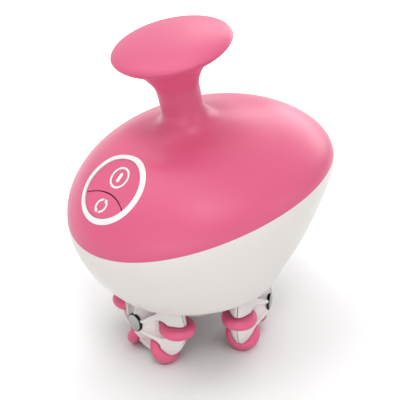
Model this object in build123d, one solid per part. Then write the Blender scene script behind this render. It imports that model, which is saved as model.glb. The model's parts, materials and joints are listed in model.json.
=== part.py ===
"""Hand-held roller massager, built as an assembly of separate pieces.

Millimetres, +Z up. The origin is on the floor, on the axis of the turntable.
The control panel is at the front, towards -Y. Every node is written in place.
"""

from build123d import *
from functools import cache
import math
import os

os.makedirs("parts", exist_ok=True)

# Housing outline
half_width = 73.0
half_length = 85.0
seam_y = 4.4
seam_z = 113.2
seam_tilt = 12.4
seam_droop = 5.9
front_taper = 0.059
dome_height = 32.9
dome_power = 1.73
dome_root = 1.69
dome_lean = 7.6
dome_fill = 11.6
bowl_power = 1.715
bowl_tilt_power = 0.376
bowl_bulge_y = 1.65
bowl_bulge_z = 0.6
rim_radius = 52.6
rim_z = 47.5
section_points = 16

# Housing walls and the lap between cover and bowl
wall = 2.4
rim_wall = 1.2
rim_chamfer = 0.8
tongue_height = 3.0
tongue_wall = 1.0
tongue_gap = 0.15

# Handle
handle_y = -13.2
handle_z = 190.6
handle_tilt = 14.25
knob_radius = 33.6
knob_top = 6.6
crown_side = 0.346
crown_flat = 0.834
neck_radius = 12.2
neck_shift = 2.3
flare_foot = -49.0
flare_width = 18.0
flare_height = 13.0
handle_wall = 2.4
underside = [(0.37, -22.7), (0.49, -14.1), (0.67, -7.4), (0.84, -4.3), (0.95, -2.2), (1.0, 0.0)]
septum_level = -26.0
septum_thickness = 3.0
cap_post_radius = 5.0

# Control panel
panel_level = 0.622
panel_sink = 2.8
panel_lean = 1.05
ring_outer = 21.5
ring_inner = 18.3
ring_depth = 1.0
button_gap = 0.25
divider_gap = 0.7
key_wall = 1.4
flange_extra = 1.2
flange_depth = 3.9
flange_thickness = 1.2
button_travel = 0.8
divider_crown = -3.4
divider_end = -8.0
divider_half = 15.2
power_spot = 7.0
mode_spot = -11.2
symbol_depth = 0.4
power_ring_radius = 6.6
mode_ring_radius = 4.3
symbol_stroke = 1.3

# Button board
board_depth = 10.5
board_thickness = 1.6
board_half_width = 26.0
board_half_height = 13.5
board_boss_offset = 23.4
board_room = 0.5
switch_size = 6.0
switch_height = 3.5

# Wheels and rollers
wheel_count = 3
roller_count = 6
wheel_turn = 2.0
wheel_offset = 34.8
roller_pitch = 22.0
roller_radius = 10.95
roller_edge = 3.6
roller_gap = 0.5
pin_radius = 1.2
hub_radius = 7.4
hub_reach = 14.6
petal_radius = 28.6
split_chamfer = 0.35
axle_radius = 2.5
clip_room_radius = 4.8
cap_radius = 5.9
cap_sink = 1.0
cap_bulge = 1.0
running_fit = 0.05
press_fit = 0.01
axle_z = (roller_pitch + roller_radius - roller_edge) * math.cos(math.radians(30.0)) + roller_edge

# Turntable
plate_radius = 50.4
plate_low = 45.3
plate_high = 48.3
wheel_clear = 2.4
core_radius = 17.0
core_low = 20.0
core_high = 63.5
boss_radius = 7.5
boss_gap = 0.4
shaft_radius = 3.0
shaft_low = 35.0
shaft_high = 76.0
screw_pocket_radius = 4.6
screw_pocket_top = 24.5

# Deck, drive and electrics
deck_radius = 58.0
deck_low = 66.0
deck_high = 70.0
deck_boss_radius = 3.6
deck_boss_circle = 55.0
deck_boss_length = 12.0
bearing_radius = 5.0
bearing_flange = 7.0
gearbox_radius = 18.5
gearbox_height = 24.0
motor_radius = 17.0
motor_height = 31.0
gearbox_screw_circle = 13.5
cell_radius = 9.2
cell_length = 65.0
cell_x = 33.0
tray_floor = 1.5
pillar_radius = 4.0
pillar_board_gap = 2.45
front_pillar_x = 17.0
back_pillar_x = 30.0
back_pillar_y = 43.0
socket_level = 0.45
socket_radius = 5.5
socket_bore = 2.75
socket_length = 13.0
socket_flange_radius = 7.0
socket_sink = 1.0
main_board_lift = 6.0

# Screws
m3_radius = 1.5
m3_head_radius = 2.75
m3_head_height = 1.9
m2_radius = 1.0
m2_head_radius = 1.9
m2_head_height = 1.3
m2_boss_radius = 2.6
m4_radius = 2.0
m4_head_radius = 3.6
m4_head_height = 2.6
head_gap = 0.25
cover_screw_grip = 9.0


# Places and directions

seam_axis = Vector(0, -math.sin(math.radians(seam_tilt)), math.cos(math.radians(seam_tilt)))
seam_centre = Vector(0, seam_y, seam_z)
equator = seam_centre - seam_axis * (seam_droop / 2)


def tilted_plane(centre, tilt):
    """Plane whose normal leans towards the front by tilt degrees."""
    lean = math.radians(tilt)
    return Plane(origin=centre, x_dir=(1, 0, 0), z_dir=(0, -math.sin(lean), math.cos(lean)))


handle_plane = tilted_plane(Vector(0, handle_y, handle_z), handle_tilt)
neck_plane = Plane(handle_plane * Pos(0, -neck_shift, 0))


def wheel_plane(index):
    """Plane at a wheel's centre: normal outward along the axle, x axis straight down."""
    turn = math.radians(-90.0 + wheel_turn + index * 360.0 / wheel_count)
    outward = Vector(math.cos(turn), math.sin(turn), 0)
    return Plane(origin=outward * wheel_offset + Vector(0, 0, axle_z), x_dir=(0, 0, -1), z_dir=outward)


def save(shape, name):
    export_step(shape, f"parts/{name}.step")


def rod(plane, radius, low, high):
    """Round bar along a plane's normal, between two distances from the plane."""
    return plane * Pos(0, 0, low) * extrude(Circle(radius), high - low)


def ring_solid(plane, outer, inner, low, high):
    return rod(plane, outer, low, high) - rod(plane, inner, low - 1, high + 1)


def level(z):
    return Plane(origin=(0, 0, z))


# Housing

def closed_curve(points):
    return Wire([Spline(*points, periodic=True)])


def outline(half_w, half_l, centre, tilt, taper, bend, rise_front=0.0, rise_ends=0.0):
    """Points of an egg-shaped ring round a tilted axis, its front and back bent down."""
    lean = math.radians(tilt)
    points = []
    for step in range(section_points):
        angle = 2 * math.pi * step / section_points
        forward = half_l * math.sin(angle)
        across = half_w * math.cos(angle) * (1 - taper * math.sin(angle))
        drop = bend * (math.sin(angle) ** 2 - 0.5)
        drop -= rise_front * math.sin(angle) + rise_ends * math.sin(angle) ** 2
        y = centre.Y - forward * math.cos(lean) + drop * math.sin(lean)
        z = centre.Z - forward * math.sin(lean) - drop * math.cos(lean)
        points.append((across, y, z))
    return points


def bowl_outline(rise, inset, rim_inset):
    """Outline of the bowl at a fraction of the way from its rim to the equator."""
    spread = 1 - (1 - rise) ** bowl_power
    cut = rim_inset + (inset - rim_inset) * min(1.0, rise * 5)
    half_w = rim_radius + (half_width - rim_radius) * spread - cut
    half_l = rim_radius + (half_length - rim_radius) * spread - cut
    hump = 4 * rise * (1 - rise)
    y = equator.Y * rise + bowl_bulge_y * hump
    z = rim_z + (equator.Z - rim_z) * rise + bowl_bulge_z * hump
    tilt = seam_tilt * rise ** bowl_tilt_power
    return outline(half_w, half_l, Vector(0, y, z), tilt, front_taper * rise, seam_droop * rise)


def dome_outline(rise, inset):
    """Outline of the dome at a fraction of its height above the equator."""
    size = (1 - rise ** dome_power) ** (1 / dome_root)
    curve = size ** 2
    bend = seam_droop * curve
    centre = seam_centre + seam_axis * ((dome_height - inset) * rise - bend / 2)
    half_w = (half_width - inset) * size
    half_l = (half_length - inset) * size
    swell = 1 - curve
    rise_front = dome_lean * swell * size
    rise_ends = dome_fill * swell * curve
    return outline(half_w, half_l, centre, seam_tilt, front_taper * size, bend, rise_front, rise_ends)


def handle_outline(radius, rise):
    """Points of a ring across the handle, its centre drawn forward below the knob."""
    blend = min(1.0, max(0.0, -rise) / 10)
    forward = neck_shift * blend ** 2 * (3 - 2 * blend)
    place = handle_plane * Pos(0, -forward, rise)
    points = []
    for step in range(section_points):
        angle = 2 * math.pi * step / section_points
        spot = place * Pos(radius * math.cos(angle), -radius * math.sin(angle), 0)
        points.append(spot.position)
    return points


def neck_profile():
    """Radius and level of the rings from the foot of the flare to the knob's widest line."""
    rings = []
    for turn in (20, 40, 60, 80):
        angle = math.radians(turn)
        radius = neck_radius + flare_width * (1 - math.sin(angle))
        rings.append((radius, flare_foot + flare_height * (1 - math.cos(angle))))
    waist = (flare_foot + flare_height + underside[0][1]) / 2
    rings.append((neck_radius, waist))
    for share, rise in underside:
        rings.append((knob_radius * share, rise))
    return rings


def drawn_in(rings, inset):
    """The same rings moved into the material by inset, square to the profile."""
    moved = []
    for index, (radius, rise) in enumerate(rings):
        before = rings[max(index - 1, 0)]
        after = rings[min(index + 1, len(rings) - 1)]
        across = after[1] - before[1] if index < len(rings) - 1 else 1.0
        along = before[0] - after[0] if index < len(rings) - 1 else 0.0
        size = math.hypot(across, along)
        moved.append((radius - inset * across / size, rise - inset * along / size))
    return moved


@cache
def body_solid(inset, rim_inset):
    """The whole outside as one solid, from the rim to the knob's widest line, drawn in by inset."""
    wires = []
    for rise in (0.0, 0.12, 0.28, 0.48, 0.72, 1.0):
        wires.append(closed_curve(bowl_outline(rise, inset, rim_inset)))
    for rise in (0.16, 0.34, 0.52, 0.68, 0.79):
        wires.append(closed_curve(dome_outline(rise, inset)))
    for radius, rise in drawn_in(neck_profile(), inset):
        wires.append(closed_curve(handle_outline(radius, rise)))
    return Solid.make_loft(wires)


def above_seam(lift):
    """Everything above the curved parting surface, raised by lift."""
    lean = math.radians(seam_tilt)
    forward = (0, -math.cos(lean), -math.sin(lean))
    section = Plane(origin=seam_centre, x_dir=forward, z_dir=(-1, 0, 0))
    reach = half_length + 15
    fall = seam_droop * (reach / half_length) ** 2
    edge = ThreePointArc((-reach, lift - fall), (0, lift), (reach, lift - fall))
    side = Line((reach, lift - fall), (reach, 130))
    top = Line((reach, 130), (-reach, 130))
    back = Line((-reach, 130), (-reach, lift - fall))
    return section * extrude(make_face([edge, side, top, back]), 100, both=True)


def crown_solid(inset):
    """The knob above its widest line, turned about the handle axis."""
    rim = knob_radius - inset
    top = knob_top - inset
    crown = Bezier((rim, 0), (rim, crown_side * top), (crown_flat * rim, top), (0, top))
    axis = Line((0, top), (0, 0))
    foot = Line((0, 0), (rim, 0))
    return handle_plane * revolve(Plane.XZ * make_face([crown, axis, foot]), Axis.Z)


body = body_solid(0, 0)
skin_floor = body_solid(ring_depth, ring_depth)
cavity = body_solid(wall, rim_wall)
upper = above_seam(0)


def front_of_dome(rise):
    """Foremost point of the dome at a fraction of its height above the equator."""
    return Vector(*dome_outline(rise, 0)[section_points // 4])


def panel_place():
    """Plane of the keys' faces, sunk into the front of the dome and leaning a little more."""
    along = front_of_dome(panel_level + 0.1) - front_of_dome(panel_level - 0.1)
    slope = math.degrees(math.atan2(along.Z, along.Y))
    return Plane(tilted_plane(front_of_dome(panel_level), slope + panel_lean) * Pos(0, 0, -panel_sink))


def pillar_places():
    """Spots of the four screw pillars: two close behind the button board, two at the back."""
    edge = panel_plane * Pos(0, board_half_height, -board_depth - board_thickness)
    front_y = edge.position.Y + pillar_board_gap + pillar_radius
    front = [(front_pillar_x, front_y), (-front_pillar_x, front_y)]
    return front + [(back_pillar_x, back_pillar_y), (-back_pillar_x, back_pillar_y)]


panel_plane = panel_place()
pillar_spots = pillar_places()


def panel_prism(face):
    """Prism through the control panel along its normal."""
    return panel_plane * Pos(0, 0, -16) * extrude(face, 32)


def top_cover():
    shell = (body & upper) - cavity
    septum = rod(neck_plane, neck_radius - wall + 0.3, septum_level, septum_level + septum_thickness)
    shell += septum - rod(neck_plane, m3_radius + running_fit, septum_level - 1, septum_level + 5)
    lap = body_solid(wall - tongue_wall - tongue_gap, rim_wall)
    shell -= lap - above_seam(tongue_height + tongue_gap)
    shell -= panel_prism(Circle(ring_inner))
    shell -= panel_prism(Circle(ring_outer)) - skin_floor
    posts = Part()
    for x, y in pillar_spots:
        posts += Pos(x, y, 0) * rod(level(deck_high), pillar_radius, 0, 90)
    for x in (-board_boss_offset, board_boss_offset):
        posts += panel_plane * Pos(x, 0, -board_depth) * extrude(Circle(m2_boss_radius), 20)
    shell += posts & skin_floor
    for x, y in pillar_spots:
        shell -= Pos(x, y, 0) * rod(level(deck_high), m3_radius + press_fit, -1, cover_screw_grip)
    for x in (-board_boss_offset, board_boss_offset):
        shell -= panel_plane * Pos(x, 0, -board_depth - 1) * extrude(Circle(m2_radius + press_fit), 5)
    return shell


def knob_cap():
    """Crown of the knob with the post that its screw holds it down by."""
    shell = crown_solid(0) - crown_solid(handle_wall)
    post_low = septum_level + septum_thickness
    post = rod(neck_plane, cap_post_radius, post_low, knob_top)
    post -= rod(handle_plane, knob_radius, 0, knob_top + 1) - crown_solid(handle_wall / 2)
    return shell + post - rod(neck_plane, m3_radius + press_fit, post_low - 1, post_low + 8)


def socket_plane():
    """Plane on the outside of the bowl at the back, normal outward."""
    points = []
    for rise in (socket_level - 0.05, socket_level, socket_level + 0.05):
        spread = 1 - (1 - rise) ** bowl_power
        reach = rim_radius + (half_length - rim_radius) * spread
        hump = 4 * rise * (1 - rise)
        lean = math.radians(seam_tilt * rise ** bowl_tilt_power)
        y = equator.Y * rise + bowl_bulge_y * hump + reach * math.cos(lean)
        z = rim_z + (equator.Z - rim_z) * rise + bowl_bulge_z * hump + reach * math.sin(lean)
        points.append(Vector(0, y, z))
    along = (points[2] - points[0]).normalized()
    return Plane(origin=points[1], x_dir=(1, 0, 0), z_dir=(0, along.Z, -along.Y))


def deck_boss_spots():
    for turn in (45, 135, 225, 315):
        yield deck_boss_circle * math.cos(math.radians(turn)), deck_boss_circle * math.sin(math.radians(turn))


def lower_housing():
    shell = body - upper - cavity
    tongue = (body_solid(wall - tongue_wall, rim_wall) - cavity) & upper
    shell += tongue - above_seam(tongue_height)
    posts = Part()
    for x, y in deck_boss_spots():
        posts += Pos(x, y, 0) * rod(level(deck_low), deck_boss_radius, -deck_boss_length, 0)
    shell += posts & skin_floor
    mouth = rim_radius - rim_wall
    lead_in = Solid.make_cone(mouth + rim_chamfer, mouth, rim_chamfer, plane=level(rim_z))
    shell -= lead_in
    for x, y in deck_boss_spots():
        shell -= Pos(x, y, 0) * rod(level(deck_low), m3_radius + press_fit, -8, 1)
    shell -= rod(socket_plane(), socket_radius + running_fit, -8, 4)
    return shell - rod(socket_plane(), socket_flange_radius + 0.1, -socket_sink, 4)


# Control panel

def panel_layer(face, low, high):
    """Flat layer of the panel under a face, between two levels over its plane."""
    return panel_plane * Pos(0, 0, low) * extrude(face, high - low)


def panel_ring():
    """Ring let into the cover round the keys, its face following the dome."""
    return (panel_prism(Circle(ring_outer) - Circle(ring_inner)) & body) - skin_floor


divider_rise = divider_crown - divider_end
divider_radius = (divider_half ** 2 + divider_rise ** 2) / (2 * divider_rise)
divider_centre = divider_crown - divider_radius


def power_face(radius):
    return Circle(radius) - Pos(0, divider_centre) * Circle(divider_radius + divider_gap / 2)


def mode_face(radius):
    return Circle(radius) & (Pos(0, divider_centre) * Circle(divider_radius - divider_gap / 2))


def power_mark():
    bar = Pos(0, power_spot) * SlotOverall(5.9, 2.4, rotation=90)
    ring = Pos(0, power_spot) * (Circle(power_ring_radius) - Circle(power_ring_radius - symbol_stroke))
    return bar + ring


def mode_mark():
    """Two curved arrows chasing each other round a circle."""
    inner = mode_ring_radius - symbol_stroke
    middle = mode_ring_radius - symbol_stroke / 2
    ring = Circle(mode_ring_radius) - Circle(inner)
    gaps = Rot(0, 0, 85) * Rectangle(4 * mode_ring_radius, 2.0)
    marks = ring - gaps
    for turn in (60, 240):
        tip = Polygon((middle - 1.3, 0), (middle + 1.3, 0), (middle, 2.0), align=None)
        marks += Rot(0, 0, turn) * tip
    return Pos(0, mode_spot) * marks


def button(outline_of, mark, spot):
    """Flat key, hollow below, with a flange under the cover and a stem over its switch."""
    radius = ring_inner - button_gap
    low = -flange_depth - flange_thickness
    key = panel_layer(outline_of(radius), low, 0)
    key -= panel_layer(outline_of(radius - key_wall), low - 1, -key_wall)
    lip = panel_layer(outline_of(radius + flange_extra), low, -flange_depth)
    key += lip - panel_layer(outline_of(radius - key_wall), low - 1, 0)
    stem_low = switch_height + button_travel + 0.1 - board_depth
    key += panel_layer(Pos(0, spot) * Circle(2.0), stem_low, -key_wall / 2)
    return key - panel_layer(mark, -symbol_depth, 1)


def board_corners():
    return (-board_boss_offset, board_boss_offset)


def button_board():
    """Board under the keys, trimmed where it would come near the cover's wall."""
    plate = panel_plane * Pos(0, 0, -board_depth - board_thickness) * extrude(
        RectangleRounded(2 * board_half_width, 2 * board_half_height, 3), board_thickness)
    plate &= body_solid(wall + board_room, wall + board_room)
    for x in board_corners():
        plate -= panel_plane * Pos(x, 0, -board_depth - 3) * extrude(Circle(m2_radius + running_fit), 5)
    return plate


def tact_switches():
    cases = []
    for spot in (power_spot, mode_spot):
        case = Pos(0, spot, -board_depth) * extrude(Rectangle(switch_size, switch_size), switch_height - 0.4)
        button_top = Pos(0, spot, -board_depth) * extrude(Circle(1.7), switch_height)
        cases.append(panel_plane * (case + button_top))
    return Compound(children=cases)


# Deck, drive and electrics

def main_board_spots():
    for x in (-18.0, 18.0):
        for y in (28.5, 42.5):
            yield x, y


def gearbox_screw_spots():
    for turn in (45, 135, 225, 315):
        angle = math.radians(turn)
        yield gearbox_screw_circle * math.cos(angle), gearbox_screw_circle * math.sin(angle)


def deck():
    plate = rod(level(deck_low), deck_radius, 0, deck_high - deck_low)
    for x, y in main_board_spots():
        plate += Pos(x, y, deck_high) * extrude(Circle(2.5), main_board_lift)
    plate -= rod(level(deck_low), bearing_radius + press_fit, -1, 6)
    through = deck_high - deck_low + 2
    for x, y in list(pillar_spots) + list(gearbox_screw_spots()):
        plate -= Pos(x, y, deck_low - 1) * extrude(Circle(m3_radius + running_fit), through)
        plate -= Pos(x, y, deck_low - 1) * extrude(Circle(m3_head_radius + head_gap), 1 + m3_head_height)
    for x, y in deck_boss_spots():
        plate -= Pos(x, y, deck_low - 1) * extrude(Circle(m3_radius + running_fit), through)
    for x, y in main_board_spots():
        plate -= Pos(x, y, deck_high + main_board_lift - 4) * extrude(Circle(m2_radius + press_fit), 5)
    for x in (-14.0, 14.0):
        plate -= Pos(x, -24, deck_low - 1) * extrude(Circle(3.0), through)
    return plate


def deck_bearing():
    bush = rod(level(deck_low), bearing_radius, -1, deck_high - deck_low)
    bush += rod(level(deck_low), bearing_flange, -1, 0)
    return bush - rod(level(deck_low), shaft_radius + running_fit, -2, 6)


def gearbox():
    case = rod(level(deck_high), gearbox_radius, 0, gearbox_height)
    case -= rod(level(deck_high), shaft_radius + running_fit, -1, shaft_high - deck_high + 0.5)
    for x, y in gearbox_screw_spots():
        case -= Pos(x, y, deck_high - 1) * extrude(Circle(m3_radius + press_fit), 6)
    return case


def motor():
    """Motor can with its rear boss and two solder tabs."""
    foot = deck_high + gearbox_height
    top = foot + motor_height
    case = rod(level(foot), motor_radius, 0, motor_height)
    case = chamfer(case.edges().group_by(Axis.Z)[-1], 1.2)
    case += rod(level(top), 5.0, 0, 2.0)
    for x in (-11.0, 11.0):
        case += Pos(x, 0, top) * extrude(Rectangle(0.8, 4.0), 6.0)
    return case


def battery_cells():
    centre = deck_high + tray_floor + cell_radius
    cells = []
    for x in (-cell_x, cell_x):
        lying = Pos(x, 0, centre) * Rot(-90, 0, 0)
        bar = lying * Pos(0, 0, -cell_length / 2) * extrude(Circle(cell_radius), cell_length - 1)
        nose = lying * Pos(0, 0, cell_length / 2 - 1) * extrude(Circle(3.0), 1)
        cells.append(bar + nose)
    return Compound(children=cells)


def battery_trays():
    centre = deck_high + tray_floor + cell_radius
    trays = []
    for x in (-cell_x, cell_x):
        block = Pos(x, 0, deck_high) * extrude(Rectangle(2 * cell_radius + 2.4, cell_length + 4.4), 8.0)
        lying = Pos(x, 0, centre) * Rot(-90, 0, 0) * Pos(0, 0, -cell_length / 2 - 0.2)
        room = lying * extrude(Circle(cell_radius + 0.02), cell_length + 0.4)
        trays.append(block - room)
    return Compound(children=trays)


def main_board():
    low = deck_high + main_board_lift
    plate = Pos(0, 35.5, low) * extrude(RectangleRounded(42, 19, 2), board_thickness)
    for x, y in main_board_spots():
        plate -= Pos(x, y, low - 1) * extrude(Circle(m2_radius + running_fit), 4)
    return plate


def board_parts():
    low = deck_high + main_board_lift + board_thickness
    charger = Pos(-8, 36, low) * extrude(Rectangle(6, 6), 1.2)
    driver = Pos(2, 38, low) * extrude(Rectangle(5, 6), 1.5)
    smoother = Pos(11, 36, low) * extrude(Circle(4.0), 10)
    plug = Pos(-2, 29.5, low) * extrude(Rectangle(10, 4.5), 6)
    return Compound(children=[charger, driver, smoother, plug])


def charging_socket():
    place = socket_plane()
    barrel = rod(place, socket_radius, -socket_length, -socket_sink)
    barrel += rod(place, socket_flange_radius, -socket_sink, 0.3)
    barrel -= rod(place, socket_bore, -10, 1)
    return barrel + rod(place, 1.0, -10.5, -0.8)


def socket_nut():
    place = socket_plane()
    nut = place * Pos(0, 0, -5.6) * extrude(RegularPolygon(8.0, 6), 2.6)
    return nut - rod(place, socket_radius + press_fit, -7, -2)


# Fasteners

def machine_screw(plane, radius, head_radius, head_height, length):
    """Pan-head screw: the seat under its head lies in the plane, the shank along the normal."""
    screw = rod(plane, radius, 0, length) + rod(plane, head_radius, -head_height, 0)
    across = Rectangle(1.6 * head_radius, 0.25 * head_radius)
    slot = plane * Pos(0, 0, -head_height) * extrude(across, head_height / 2)
    return screw - slot


def m3_screw(plane, length):
    return machine_screw(plane, m3_radius, m3_head_radius, m3_head_height, length)


def cover_screws():
    seat = deck_low + m3_head_height
    return Compound(children=[m3_screw(Plane(origin=(x, y, seat)), 10) for x, y in pillar_spots])


def gearbox_screws():
    seat = deck_low + m3_head_height
    return Compound(children=[m3_screw(Plane(origin=(x, y, seat)), 6) for x, y in gearbox_screw_spots()])


def deck_screws():
    places = [Plane(origin=(x, y, deck_high), z_dir=(0, 0, -1)) for x, y in deck_boss_spots()]
    return Compound(children=[m3_screw(place, 10) for place in places])


def knob_screw():
    return m3_screw(neck_plane.offset(septum_level), 10)


def board_screws():
    screws = []
    for x in board_corners():
        place = panel_plane * Pos(x, 0, -board_depth - board_thickness)
        screws.append(machine_screw(Plane(place), m2_radius, m2_head_radius, m2_head_height, 5))
    for x, y in main_board_spots():
        place = Plane(origin=(x, y, deck_high + main_board_lift + board_thickness), z_dir=(0, 0, -1))
        screws.append(machine_screw(place, m2_radius, m2_head_radius, m2_head_height, 5))
    return Compound(children=screws)


def hub_screw():
    return machine_screw(level(screw_pocket_top), m4_radius, m4_head_radius, m4_head_height, 20)


# Turntable

def turntable():
    plate = rod(level(plate_low), plate_radius, 0, plate_high - plate_low)
    plate = fillet(plate.edges(), 0.8)
    body_part = plate + rod(level(core_low), core_radius, 0, core_high - core_low)
    tall = plate_low - axle_z
    chord = math.sqrt((roller_pitch + roller_radius) ** 2 - tall ** 2) + wheel_clear
    inner = roller_radius + wheel_clear
    for index in range(wheel_count):
        window = wheel_plane(index) * Pos(-35, 0, 15 - inner) * Box(60, 2 * chord, 30)
        keep = rod(level(core_low - 1), core_radius, 0, 60)
        body_part -= window - keep
    for index in range(wheel_count):
        body_part += rod(wheel_plane(index), boss_radius, 5 - wheel_offset, -hub_reach - boss_gap)
    for index in range(wheel_count):
        body_part -= rod(wheel_plane(index), axle_radius + press_fit, 5 - wheel_offset, 0)
    body_part -= rod(level(0), shaft_radius + press_fit, shaft_low, core_high + 1)
    body_part -= rod(level(0), m4_radius + running_fit, screw_pocket_top - 1, shaft_low + 1)
    return body_part - rod(level(0), screw_pocket_radius, core_low - 1, screw_pocket_top)


def drive_shaft():
    shaft = rod(level(0), shaft_radius, shaft_low, shaft_high)
    return shaft - rod(level(0), m4_radius + press_fit, shaft_low - 1, 46)


def axles():
    bars = [rod(wheel_plane(i), axle_radius, 5 - wheel_offset, hub_reach - 2.0) for i in range(wheel_count)]
    return Compound(children=bars)


def axle_clips():
    low = hub_reach - 3.3
    bore = axle_radius + press_fit
    rings = [ring_solid(wheel_plane(i), 4.2, bore, low, low + 0.8) for i in range(wheel_count)]
    return Compound(children=rings)


# Wheels and rollers

def roller_seat(step):
    """Place of a roller in its wheel: z along the roller's own pin."""
    angle = math.radians(30.0 + 360.0 / roller_count * step)
    outward = Vector(math.cos(angle), math.sin(angle), 0)
    along = Vector(-math.sin(angle), math.cos(angle), 0)
    return Location(Plane(origin=outward * roller_pitch, x_dir=outward, z_dir=along))


def pocket_tool():
    """Room for one roller, open towards the hub as a rounded scoop."""
    half = roller_edge + roller_gap
    slot = Pos(0, 0, -half) * extrude(Circle(roller_radius + 0.65), 2 * half)
    pin = Pos(0, 0, -7.2) * extrude(Circle(pin_radius + press_fit), 14.4)
    return slot + pin


def scoop_tool(angle):
    near = Vector(5.5, 0, 16.4)
    far = Vector(16.5, 0, 9.8)
    place = Plane(origin=near, z_dir=far - near)
    cone = Solid.make_cone(2.6, 6.6, (far - near).length, plane=place)
    scoop = cone + Pos(far.X, 0, far.Z) * Sphere(6.6)
    return Rot(0, 0, angle) * scoop


def carrier_half():
    """Outer half of a wheel: a hub cone spreading into petals between the rollers."""
    flank = Spline(
        (petal_radius, split_chamfer),
        (petal_radius - 0.9, 2.4),
        (24.6, 5.0),
        (19.5, 7.7),
        (13.5, 10.9),
        (hub_radius, hub_reach),
        tangents=[(0, 1), (-0.85, 0.5)],
    )
    base = Line((0, 0), (petal_radius - split_chamfer, 0))
    split = Line((petal_radius - split_chamfer, 0), (petal_radius, split_chamfer))
    end = Line((hub_radius, hub_reach), (0, hub_reach))
    axis = Line((0, hub_reach), (0, 0))
    half = revolve(Plane.XZ * make_face([base, split, flank, end, axis]), Axis.Z)
    half -= rod(level(0), axle_radius + running_fit, -1, hub_reach + 1)
    for step in range(roller_count):
        half -= roller_seat(step) * pocket_tool()
        half -= scoop_tool(30.0 + 360.0 / roller_count * step)
    return half


def cap_recess():
    recess = rod(level(0), clip_room_radius, hub_reach - 3.6, hub_reach + 1)
    return recess + rod(level(0), cap_radius + 0.25, hub_reach - cap_sink, hub_reach + 1)


def hub_cap():
    """Shallow domed cap that closes the outer end of a hub."""
    low = hub_reach - cap_sink
    shoulder = hub_reach + 0.4
    reach = cap_radius - 0.5
    sphere = (reach ** 2 + cap_bulge ** 2) / (2 * cap_bulge)
    middle = shoulder + cap_bulge - sphere + math.sqrt(sphere ** 2 - (reach / 2) ** 2)
    side = Line((cap_radius, low), (cap_radius, hub_reach))
    lip = Line((cap_radius, hub_reach), (reach, shoulder))
    dome = ThreePointArc((reach, shoulder), (reach / 2, middle), (0, shoulder + cap_bulge))
    axis = Line((0, shoulder + cap_bulge), (0, low))
    foot = Line((0, low), (cap_radius, low))
    return revolve(Plane.XZ * make_face([side, lip, dome, axis, foot]), Axis.Z)


def roller():
    """Rounded disc on its own pin."""
    flat = roller_radius - roller_edge
    hole = pin_radius + running_fit
    low = Line((hole, -roller_edge), (flat, -roller_edge))
    edge = ThreePointArc((flat, -roller_edge), (roller_radius, 0), (flat, roller_edge))
    high = Line((flat, roller_edge), (hole, roller_edge))
    bore = Line((hole, roller_edge), (hole, -roller_edge))
    return revolve(Plane.XZ * make_face([low, edge, high, bore]), Axis.Z)


def roller_pins():
    pin = Pos(0, 0, -7.0) * extrude(Circle(pin_radius), 14.0)
    return [roller_seat(step) * pin for step in range(roller_count)]


def save_wheels():
    half = carrier_half()
    inner = half.mirror(Plane.XY)
    outer = half - cap_recess()
    cap = hub_cap()
    disc = roller()
    pins = roller_pins()
    for index in range(wheel_count):
        place = Location(wheel_plane(index))
        name = f"wheel_{index + 1}"
        save(place * outer, f"{name}_outer")
        save(place * inner, f"{name}_inner")
        save(place * cap, f"{name}_cap")
        save(Compound(children=[place * pin for pin in pins]), f"{name}_pins")
        for step in range(roller_count):
            save(place * roller_seat(step) * disc, f"{name}_roller_{step + 1}")


save(top_cover(), "top_cover")
save(knob_cap(), "knob_cap")
save(lower_housing(), "lower_housing")
save(panel_ring(), "panel_ring")
save(button(power_face, power_mark(), power_spot), "power_button")
save(panel_layer(power_mark(), -symbol_depth, 0), "power_symbol")
save(button(mode_face, mode_mark(), mode_spot), "mode_button")
save(panel_layer(mode_mark(), -symbol_depth, 0), "mode_symbol")
save(button_board(), "button_board")
save(tact_switches(), "tact_switches")
save(deck(), "deck")
save(deck_bearing(), "deck_bearing")
save(gearbox(), "gearbox")
save(motor(), "motor")
save(battery_cells(), "battery_cells")
save(battery_trays(), "battery_trays")
save(main_board(), "main_board")
save(board_parts(), "board_parts")
save(charging_socket(), "charging_socket")
save(socket_nut(), "socket_nut")
save(cover_screws(), "cover_screws")
save(gearbox_screws(), "gearbox_screws")
save(deck_screws(), "deck_screws")
save(knob_screw(), "knob_screw")
save(board_screws(), "board_screws")
save(hub_screw(), "hub_screw")
save(turntable(), "turntable")
save(drive_shaft(), "drive_shaft")
save(axles(), "axles")
save(axle_clips(), "axle_clips")
save_wheels()
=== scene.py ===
import bpy
import json
import math
from mathutils import Matrix, Vector

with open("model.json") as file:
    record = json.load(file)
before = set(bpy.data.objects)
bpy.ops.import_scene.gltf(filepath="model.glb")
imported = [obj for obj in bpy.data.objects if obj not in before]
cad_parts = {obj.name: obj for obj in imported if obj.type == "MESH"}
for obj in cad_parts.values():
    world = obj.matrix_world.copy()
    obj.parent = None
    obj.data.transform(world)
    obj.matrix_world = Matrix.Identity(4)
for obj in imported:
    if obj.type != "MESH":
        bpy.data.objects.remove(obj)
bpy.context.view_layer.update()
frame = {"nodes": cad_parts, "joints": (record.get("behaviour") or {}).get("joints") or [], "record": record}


# Colours, linear

PINK = (0.74, 0.12, 0.245)
ROLLER_PINK = (0.80, 0.12, 0.25)
WHITE = (0.835, 0.795, 0.76)
BRIGHT_WHITE = (0.93, 0.925, 0.92)
WHEEL_WHITE = (0.91, 0.88, 0.865)
CHROME = (0.37, 0.38, 0.37)
# The three deep tones below are painted shade: darker colour in pockets and joints.
PINK_PAINTED_SHADE = (0.42, 0.03, 0.09)
WHITE_PAINTED_SHADE = (0.45, 0.40, 0.38)
WHEEL_PAINTED_SHADE = (0.42, 0.36, 0.35)
JOINT_LINE = (0.22, 0.19, 0.19)
# Painted shade on the rim of each wheel's chrome cap.
CAP_RIM_PAINTED_SHADE = (0.03, 0.032, 0.03)
# Tone of the painted shadow on the floor close under the object.
FLOOR_PAINTED_SHADOW = (0.60, 0.64, 0.64)


# Sizes of the surface effects, metres, or how many fit in a metre

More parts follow.
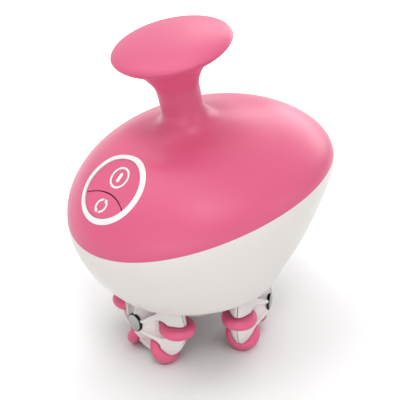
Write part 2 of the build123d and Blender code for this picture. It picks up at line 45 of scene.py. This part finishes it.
CLOUDS = 18.0
SCRATCHES = 900.0
SCRATCH_DEPTH = 0.0001
GRAIN = 0.0004
COARSE_GRAIN = 0.0005
SOFT_EDGE = 0.0004
WIDE_EDGE = 0.0005
SPLIT_LINE_HALF = 0.00016
CAP_RIM = 0.0051


# Strengths of the surface effects

TONE_DRIFT = 0.04
GLOSS_DRIFT = 0.12
PLASTIC_INDEX = 1.46
SOFT_TOUCH_INDEX = 1.38


# Nodes

def math_node(tree, operation, first, second):
    """Result of one operation on two numbers, each a socket or a plain value."""
    node = tree.nodes.new("ShaderNodeMath")
    node.operation = operation
    for index, value in enumerate((first, second)):
        if isinstance(value, (int, float)):
            node.inputs[index].default_value = value
        else:
            tree.links.new(value, node.inputs[index])
    return node.outputs[0]


def vector_node(tree, operation, first, second=None):
    """Result of one operation on vectors, which is a number for a length or a dot product."""
    node = tree.nodes.new("ShaderNodeVectorMath")
    node.operation = operation
    tree.links.new(first, node.inputs[0])
    if second is not None:
        tree.links.new(second, node.inputs["Scale" if operation == "SCALE" else 1])
    return node.outputs["Value" if operation in ("DOT_PRODUCT", "LENGTH") else "Vector"]


def object_place(tree):
    """Place on the object, in its own metres."""
    return tree.nodes.new("ShaderNodeTexCoord").outputs["Object"]


def noise(tree, detail):
    """Noise over the object's place. Its scale is set by the caller."""
    node = tree.nodes.new("ShaderNodeTexNoise")
    node.inputs["Detail"].default_value = detail
    tree.links.new(object_place(tree), node.inputs["Vector"])
    return node


def blend_colours(tree, mask, low, high):
    """Colour that goes from low to high as the mask goes from none to one."""
    node = tree.nodes.new("ShaderNodeMix")
    node.data_type = "RGBA"
    tree.links.new(mask, node.inputs["Factor"])
    ends = [socket for socket in node.inputs if socket.type == "RGBA"]
    for socket, value in zip(ends, (low, high)):
        if isinstance(value, tuple):
            socket.default_value = (*value, 1.0)
        else:
            tree.links.new(value, socket)
    return next(socket for socket in node.outputs if socket.type == "RGBA")


# Shared effects

KINDS = {"colour": "NodeSocketColor", "number": "NodeSocketFloat", "vector": "NodeSocketVector"}


def new_group(name, inputs, outputs):
    """Empty node group with named sockets, and the nodes that hold its inputs and its outputs."""
    group = bpy.data.node_groups.new(name, "ShaderNodeTree")
    for direction, sockets in (("INPUT", inputs), ("OUTPUT", outputs)):
        for label, kind in sockets.items():
            group.interface.new_socket(name=label, in_out=direction, socket_type=KINDS[kind])
    return group, group.nodes.new("NodeGroupInput"), group.nodes.new("NodeGroupOutput")


def moulded_plastic_group():
    """Slow drift of tone and gloss with a fine spark-eroded grain, as a mould leaves on plastic."""
    inputs = {"Colour": "colour", "Roughness": "number", "Grain": "number"}
    outputs = {"Colour": "colour", "Roughness": "number", "Height": "number"}
    group, start, end = new_group("moulded_plastic", inputs, outputs)
    clouds = noise(group, 3.0)
    clouds.inputs["Scale"].default_value = CLOUDS
    grain = noise(group, 2.0)
    group.links.new(math_node(group, "DIVIDE", 1.0, start.outputs["Grain"]), grain.inputs["Scale"])
    drift = math_node(group, "SUBTRACT", clouds.outputs["Fac"], 0.5)
    tone = math_node(group, "ADD", math_node(group, "MULTIPLY", drift, TONE_DRIFT), 1.0)
    tint = vector_node(group, "SCALE", start.outputs["Colour"], tone)
    gloss = math_node(group, "MULTIPLY", drift, GLOSS_DRIFT)
    gloss = math_node(group, "ADD", gloss, start.outputs["Roughness"])
    group.links.new(tint, end.inputs["Colour"])
    group.links.new(gloss, end.inputs["Roughness"])
    group.links.new(grain.outputs["Fac"], end.inputs["Height"])
    return group


def rounded_edge_group():
    """Normal of a surface whose sharp edges are rounded to a small radius."""
    group, start, end = new_group("rounded_edge", {"Radius": "number"}, {"Normal": "vector"})
    bevel = group.nodes.new("ShaderNodeBevel")
    bevel.samples = 6
    group.links.new(start.outputs["Radius"], bevel.inputs["Radius"])
    group.links.new(bevel.outputs["Normal"], end.inputs["Normal"])
    return group


def painted_shade_group():
    """Painted shade: darker colour in joints and pockets, and a painted shadow where the floor is close
    under the object, by how closed in each point is.
    """
    inputs = {"Colour": "colour", "Shade Tone": "colour", "Reach": "number", "Depth": "number"}
    group, start, end = new_group("painted_crevice_shade", inputs, {"Colour": "colour"})
    openness = group.nodes.new("ShaderNodeAmbientOcclusion")
    openness.samples = 8
    group.links.new(start.outputs["Reach"], openness.inputs["Distance"])
    clear = math_node(group, "POWER", openness.outputs["AO"], start.outputs["Depth"])
    shaded = blend_colours(group, clear, start.outputs["Shade Tone"], start.outputs["Colour"])
    group.links.new(shaded, end.inputs["Colour"])
    return group


def axle_place_group():
    """Distance from a wheel's split plane along its axle, and distance from the axle's line."""
    inputs = {"Centre": "vector", "Axle": "vector"}
    group, start, end = new_group("axle_place", inputs, {"Level": "number", "Reach": "number"})
    axle = start.outputs["Axle"]
    offset = vector_node(group, "SUBTRACT", object_place(group), start.outputs["Centre"])
    level = vector_node(group, "DOT_PRODUCT", offset, axle)
    across = vector_node(group, "SUBTRACT", offset, vector_node(group, "SCALE", axle, level))
    group.links.new(math_node(group, "ABSOLUTE", level, 0.0), end.inputs["Level"])
    group.links.new(vector_node(group, "LENGTH", across), end.inputs["Reach"])
    return group


effects = {
    "plastic": moulded_plastic_group(),
    "edge": rounded_edge_group(),
    "painted_shade": painted_shade_group(),
    "axle": axle_place_group(),
}


def effect_node(tree, effect, values):
    """Shared effect placed in a material, with the values of its named inputs."""
    node = tree.nodes.new("ShaderNodeGroup")
    node.node_tree = effects[effect]
    for label, value in values.items():
        node.inputs[label].default_value = value
    return node


def add_painted_shade(tree, paint, tone, reach, depth):
    """Paint with painted shade, a deeper tone, in its crevices."""
    shade = effect_node(tree, "painted_shade", {"Shade Tone": (*tone, 1.0), "Reach": reach, "Depth": depth})
    tree.links.new(paint, shade.inputs["Colour"])
    return shade.outputs["Colour"]


def axle_place(tree, wheel):
    """Place on one wheel, from the centre and axis of the wheel's own joint."""
    return effect_node(tree, "axle", {"Centre": wheel["pos_m"], "Axle": wheel["axis"]})


# Materials

def new_material(name):
    material = bpy.data.materials.new(name)
    material.use_nodes = True
    return material, material.node_tree, material.node_tree.nodes["Principled BSDF"]


def relief(tree, shader, height, strength, distance):
    """Bump from a height, fed to the shader's normal."""
    bump = tree.nodes.new("ShaderNodeBump")
    bump.inputs["Strength"].default_value = strength
    bump.inputs["Distance"].default_value = distance
    tree.links.new(height, bump.inputs["Height"])
    tree.links.new(bump.outputs["Normal"], shader.inputs["Normal"])
    return bump


def plastic(name, colour, roughness, grain=GRAIN, bump=0.02, edge=None, painted_shade=None, wheel=None,
            index=PLASTIC_INDEX):
    """Moulded plastic with its own tone, gloss and grain.

    edge is the radius of its rounded edges; the shade argument gives the tone, reach and depth of the
    shade painted into its pockets; and wheel the joint of the wheel whose split line it carries.
    """
    material, tree, shader = new_material(name)
    values = {"Colour": (*colour, 1.0), "Roughness": roughness, "Grain": grain}
    skin = effect_node(tree, "plastic", values)
    tree.links.new(skin.outputs["Roughness"], shader.inputs["Roughness"])
    texture = relief(tree, shader, skin.outputs["Height"], bump, grain)
    shader.inputs["IOR"].default_value = index
    if edge:
        rounding = effect_node(tree, "edge", {"Radius": edge})
        tree.links.new(rounding.outputs["Normal"], texture.inputs["Normal"])
    paint = skin.outputs["Colour"]
    # Painted shade: the paint is darkened in pockets and joints.
    if painted_shade:
        paint = add_painted_shade(tree, paint, *painted_shade)
    if wheel:
        level = axle_place(tree, wheel).outputs["Level"]
        line = math_node(tree, "LESS_THAN", level, SPLIT_LINE_HALF)
        paint = blend_colours(tree, line, paint, JOINT_LINE)
    tree.links.new(paint, shader.inputs["Base Color"])
    return material


def metal(name, colour, roughness, streak, wheel=None):
    """Metal with fine scratches that vary its gloss, and a painted dark rim of shade where it caps a wheel.
    """
    material, tree, shader = new_material(name)
    shader.inputs["Base Color"].default_value = (*colour, 1.0)
    shader.inputs["Metallic"].default_value = 1.0
    scratch = noise(tree, 4.0)
    scratch.inputs["Scale"].default_value = SCRATCHES
    spread = math_node(tree, "MULTIPLY", scratch.outputs["Fac"], streak)
    tree.links.new(math_node(tree, "ADD", spread, roughness), shader.inputs["Roughness"])
    relief(tree, shader, scratch.outputs["Fac"], 0.05, SCRATCH_DEPTH)
    # Painted shade: a near-black rim on the chrome beyond the cap's radius.
    if wheel:
        reach = axle_place(tree, wheel).outputs["Reach"]
        rim = math_node(tree, "GREATER_THAN", reach, CAP_RIM)
        tree.links.new(blend_colours(tree, rim, colour, CAP_RIM_PAINTED_SHADE), shader.inputs["Base Color"])
    return material


# The shade arguments below paint shade into pockets and joints.
finishes = {
    "pink_shell": plastic(
        "soft_touch_pink", PINK, 0.37, COARSE_GRAIN, 0.05, edge=SOFT_EDGE, index=SOFT_TOUCH_INDEX),
    "pink_key": plastic(
        "soft_touch_pink_key", PINK, 0.42, COARSE_GRAIN, 0.05, edge=SOFT_EDGE,
        painted_shade=(PINK_PAINTED_SHADE, 0.001, 0.3)),
    "white_shell": plastic(
        "satin_white", WHITE, 0.31, 0.0006, 0.03, edge=WIDE_EDGE, painted_shade=(WHITE_PAINTED_SHADE, 0.004, 1.0)),
    "white_trim": plastic("gloss_white_inlay", BRIGHT_WHITE, 0.3, edge=SOFT_EDGE),
    "roller_pink": plastic(
        "roller_pink_plastic", ROLLER_PINK, 0.33, COARSE_GRAIN, 0.03, edge=SOFT_EDGE,
        painted_shade=(PINK_PAINTED_SHADE, 0.002, 0.6)),
    "steel": metal("plain_steel", (0.55, 0.56, 0.58), 0.3, 0.2),
    "motor_steel": metal("drawn_steel", (0.5, 0.5, 0.52), 0.35, 0.2),
    "bronze": metal("sintered_bronze", (0.55, 0.36, 0.16), 0.45, 0.2),
    "board_green": plastic("board_laminate", (0.02, 0.16, 0.06), 0.35),
    "part_black": plastic("moulded_black", (0.02, 0.02, 0.02), 0.5),
    "cell_wrap": plastic("cell_wrap_blue", (0.03, 0.1, 0.35), 0.3),
    "frame_grey": plastic("moulded_grey", (0.12, 0.12, 0.125), 0.5),
    "socket_black": plastic("socket_black_plastic", (0.025, 0.025, 0.025), 0.4),
}


def wheel_finishes(number):
    """White plastic and chrome of one wheel: split line, painted pocket shade, painted dark cap rim."""
    wheel = next(joint for joint in frame["joints"] if joint["name"] == f"wheel_{number}_spin")
    white = plastic(
        f"wheel_{number}_white", WHEEL_WHITE, 0.35, COARSE_GRAIN, 0.03, edge=WIDE_EDGE,
        painted_shade=(WHEEL_PAINTED_SHADE, 0.002, 0.7), wheel=wheel)
    chrome = metal(f"wheel_{number}_chrome", CHROME, 0.07, 0.08, wheel)
    return {"wheel_white": white, "cap_chrome": chrome}


def dress_frame():
    """Give every CAD node the material of its own slot. A wheel's node is named wheel, number, piece."""
    wheels = {number: wheel_finishes(number) for number in ("1", "2", "3")}
    for entry in frame["record"]["subparts"]:
        name = entry["node"]
        slot = entry["material_slot"]
        finish = finishes.get(slot) or wheels[name.split("_")[1]][slot]
        node = frame["nodes"][name]
        node.data.materials.clear()
        node.data.materials.append(finish)


# Camera, fitted to the photograph's view

PHOTO_SIZE = 400
FOCAL_PIXELS = 749.7
CENTRE_PIXEL = (191.1, 198.3)
EYE_TARGET = Vector((0.0, -0.001, 0.095))
EYE_DISTANCE = 0.450
EYE_AZIMUTH = 48.5
EYE_ELEVATION = 26.8
EYE_ROLL = -0.95


def direction(azimuth, elevation):
    """Unit vector away from the object. Azimuth 0 is its front, and 90 the right as seen from there."""
    turn = math.radians(azimuth)
    lift = math.radians(elevation)
    return Vector((math.sin(turn) * math.cos(lift), -math.cos(turn) * math.cos(lift), math.sin(lift)))


def camera():
    away = direction(EYE_AZIMUTH, EYE_ELEVATION)
    eye = EYE_TARGET + away * EYE_DISTANCE
    bpy.ops.object.camera_add(location=eye)
    cam = bpy.context.object
    cam.name = "photo_camera"
    look = (-away).to_track_quat("-Z", "Y").to_matrix().to_4x4()
    roll = Matrix.Rotation(math.radians(EYE_ROLL), 4, "Z")
    cam.matrix_world = Matrix.Translation(eye) @ look @ roll
    cam.data.sensor_width = 36.0
    cam.data.lens = FOCAL_PIXELS / PHOTO_SIZE * cam.data.sensor_width
    cam.data.shift_x = (PHOTO_SIZE / 2 - CENTRE_PIXEL[0]) / PHOTO_SIZE
    cam.data.shift_y = (CENTRE_PIXEL[1] - PHOTO_SIZE / 2) / PHOTO_SIZE
    cam.data.clip_start = 0.01
    bpy.context.scene.camera = cam


# Studio

FLOOR_SIZE = 6.0
FLOOR_PALE = 0.8
FLOOR_PAINTED_SHADOW_REACH = 0.05
GLOW_START = 0.10
GLOW_RISE = 1.7
LAMP_MIDDLE = Vector((0, 0, 0.1))
SKY_LOW = 0.2
SKY_RISE = 0.35


def background_rays(tree):
    """One for rays from the camera and through gloss or glass, which see the white background."""
    path = tree.nodes.new("ShaderNodeLightPath")
    seen = math_node(tree, "MAXIMUM", path.outputs["Is Camera Ray"], path.outputs["Is Glossy Ray"])
    return math_node(tree, "MAXIMUM", seen, path.outputs["Is Transmission Ray"])


def floor():
    """Pale floor with a painted shadow, a deeper tone, close under the object, that turns white away from
    it.
    """
    bpy.ops.mesh.primitive_plane_add(size=FLOOR_SIZE, location=(0, 0, 0))
    ground = bpy.context.object
    ground.name = "studio_floor"
    material, tree, shader = new_material("pale_floor")
    shader.inputs["Roughness"].default_value = 0.8
    shader.inputs["Specular IOR Level"].default_value = 0.1
    seen = background_rays(tree)
    pale = math_node(tree, "ADD", math_node(tree, "MULTIPLY", seen, 1 - FLOOR_PALE), FLOOR_PALE)
    # Painted shadow: the floor's colour is darkened close under the object.
    paint = add_painted_shade(tree, pale, FLOOR_PAINTED_SHADOW, FLOOR_PAINTED_SHADOW_REACH, 0.8)
    tree.links.new(paint, shader.inputs["Base Color"])
    apart = vector_node(tree, "LENGTH", object_place(tree))
    far = math_node(tree, "MAXIMUM", math_node(tree, "SUBTRACT", apart, GLOW_START), 0.0)
    glow = math_node(tree, "MINIMUM", math_node(tree, "MULTIPLY", far, GLOW_RISE), 1.0)
    shader.inputs["Emission Color"].default_value = (1, 1, 1, 1)
    tree.links.new(math_node(tree, "MULTIPLY", seen, glow), shader.inputs["Emission Strength"])
    ground.data.materials.append(material)


def area_lamp(name, azimuth, elevation, distance, width, height, radiance):
    """Soft panel that faces the object from one direction, with its own surface brightness."""
    away = direction(azimuth, elevation)
    bpy.ops.object.light_add(type="AREA", location=LAMP_MIDDLE + away * distance)
    lamp = bpy.context.object
    lamp.name = name
    lamp.data.shape = "RECTANGLE"
    lamp.data.size = width
    lamp.data.size_y = height
    lamp.data.energy = radiance * math.pi * width * height
    lamp.rotation_euler = (-away).to_track_quat("-Z", "Y").to_euler()


def lamps():
    area_lamp("overhead_lamp", -42, 70, distance=1.2, width=1.0, height=1.0, radiance=1.85)
    area_lamp("front_lamp", 55, 56, distance=1.2, width=0.34, height=0.34, radiance=9.0)
    area_lamp("rear_lamp", -167, 22, distance=1.2, width=0.8, height=0.4, radiance=4.0)
    area_lamp("knob_lamp", -139, 39, distance=1.2, width=0.55, height=0.25, radiance=4.0)
    area_lamp("fill_lamp", 34, 5, distance=1.3, width=1.1, height=0.5, radiance=2.1)
    area_lamp("side_lamp", 112, 16, distance=1.3, width=0.7, height=0.5, radiance=1.6)


def surroundings():
    """White to the camera and in reflections, and a soft sky that is brighter overhead as light."""
    world = bpy.data.worlds.new("studio_light")
    bpy.context.scene.world = world
    world.use_nodes = True
    tree = world.node_tree
    shader = tree.nodes["Background"]
    seen = background_rays(tree)
    split = tree.nodes.new("ShaderNodeSeparateXYZ")
    tree.links.new(tree.nodes.new("ShaderNodeTexCoord").outputs["Generated"], split.inputs[0])
    sky = math_node(tree, "MULTIPLY", math_node(tree, "MAXIMUM", split.outputs["Z"], 0.0), SKY_RISE)
    sky = math_node(tree, "ADD", sky, SKY_LOW)
    tree.links.new(math_node(tree, "MAXIMUM", seen, sky), shader.inputs["Strength"])
    shader.inputs["Color"].default_value = (1, 1, 1, 1)


dress_frame()
bpy.ops.object.select_all(action="DESELECT")
floor()
lamps()
surroundings()
camera()
bpy.context.scene.view_settings.view_transform = "Standard"
